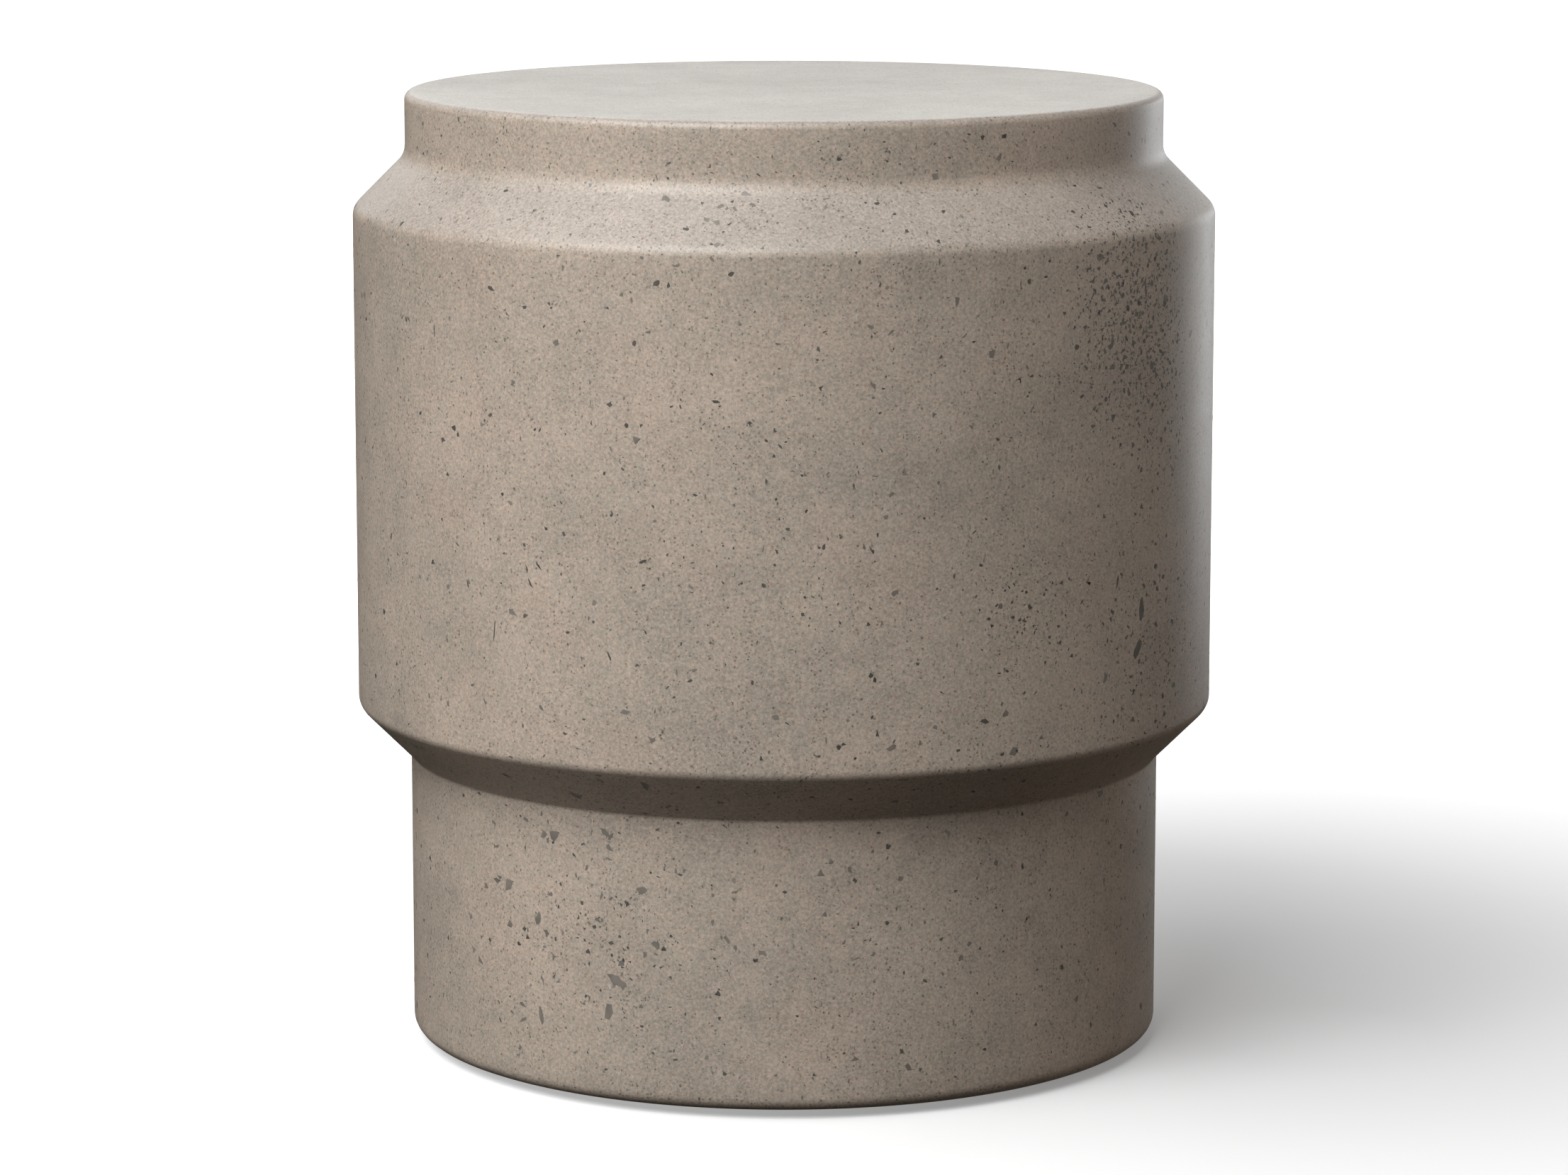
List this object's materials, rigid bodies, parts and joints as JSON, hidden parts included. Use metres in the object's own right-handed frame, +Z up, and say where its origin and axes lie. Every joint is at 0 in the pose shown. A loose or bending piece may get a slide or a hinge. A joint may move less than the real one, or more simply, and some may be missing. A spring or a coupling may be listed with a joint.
{
  "type": "drum stool and side table",
  "caption": "Round cast concrete drum stool or side table with a stepped collar and base, hollow underneath, on levelling feet that screw up and down.",
  "frame": {"origin": "centre of the footprint on the floor, at the soles of the feet, with the feet screwed home", "axes": "+Z up along the axis of the drum; the feet stand on the diagonals of X and Y"},
  "size_m": [0.41, 0.4098, 0.457],
  "materials": {
    "concrete": "cast fibre-reinforced concrete with dark aggregate chips, sealed to a satin sheen",
    "zinc_socket": "yellow-passivated zinc plate",
    "stainless": "turned stainless steel",
    "nylon": "black moulded nylon",
    "rubber": "moulded rubber, matt"
  },
  "bodies": {
    "shell": {"concrete_shell": "concrete", "socket_1": "zinc_socket", "socket_2": "zinc_socket", "socket_3": "zinc_socket", "socket_4": "zinc_socket"},
    "foot_1": {"pad_1": "nylon", "sole_1": "rubber"},
    "screw_1": {"stud_1": "stainless"},
    "foot_2": {"pad_2": "nylon", "sole_2": "rubber"},
    "screw_2": {"stud_2": "stainless"},
    "foot_3": {"pad_3": "nylon", "sole_3": "rubber"},
    "screw_3": {"stud_3": "stainless"},
    "foot_4": {"pad_4": "nylon", "sole_4": "rubber"},
    "screw_4": {"stud_4": "stainless"}
  },
  "joints": [
    {"name": "foot_1_travel", "type": "slide", "parent": "shell", "child": "foot_1", "axis": [0, 0, -1], "range_m": [0, 0.0105]},
    {"name": "foot_1_turn", "type": "hinge", "parent": "foot_1", "child": "screw_1", "pos_m": [0.09051, 0.09051, 0.02], "axis": [0, 0, -1], "range_deg": [0, 2520]},
    {"name": "foot_2_travel", "type": "slide", "parent": "shell", "child": "foot_2", "axis": [0, 0, -1], "range_m": [0, 0.0105]},
    {"name": "foot_2_turn", "type": "hinge", "parent": "foot_2", "child": "screw_2", "pos_m": [-0.09051, 0.09051, 0.02], "axis": [0, 0, -1], "range_deg": [0, 2520]},
    {"name": "foot_3_travel", "type": "slide", "parent": "shell", "child": "foot_3", "axis": [0, 0, -1], "range_m": [0, 0.0105]},
    {"name": "foot_3_turn", "type": "hinge", "parent": "foot_3", "child": "screw_3", "pos_m": [-0.09051, -0.09051, 0.02], "axis": [0, 0, -1], "range_deg": [0, 2520]},
    {"name": "foot_4_travel", "type": "slide", "parent": "shell", "child": "foot_4", "axis": [0, 0, -1], "range_m": [0, 0.0105]},
    {"name": "foot_4_turn", "type": "hinge", "parent": "foot_4", "child": "screw_4", "pos_m": [0.09051, -0.09051, 0.02], "axis": [0, 0, -1], "range_deg": [0, 2520]}
  ],
  "couplings": [
    {"joint": "foot_1_turn", "follows": "foot_1_travel", "rad_per_m": 4188.8},
    {"joint": "foot_2_turn", "follows": "foot_2_travel", "rad_per_m": 4188.8},
    {"joint": "foot_3_turn", "follows": "foot_3_travel", "rad_per_m": 4188.8},
    {"joint": "foot_4_turn", "follows": "foot_4_travel", "rad_per_m": 4188.8}
  ]
}
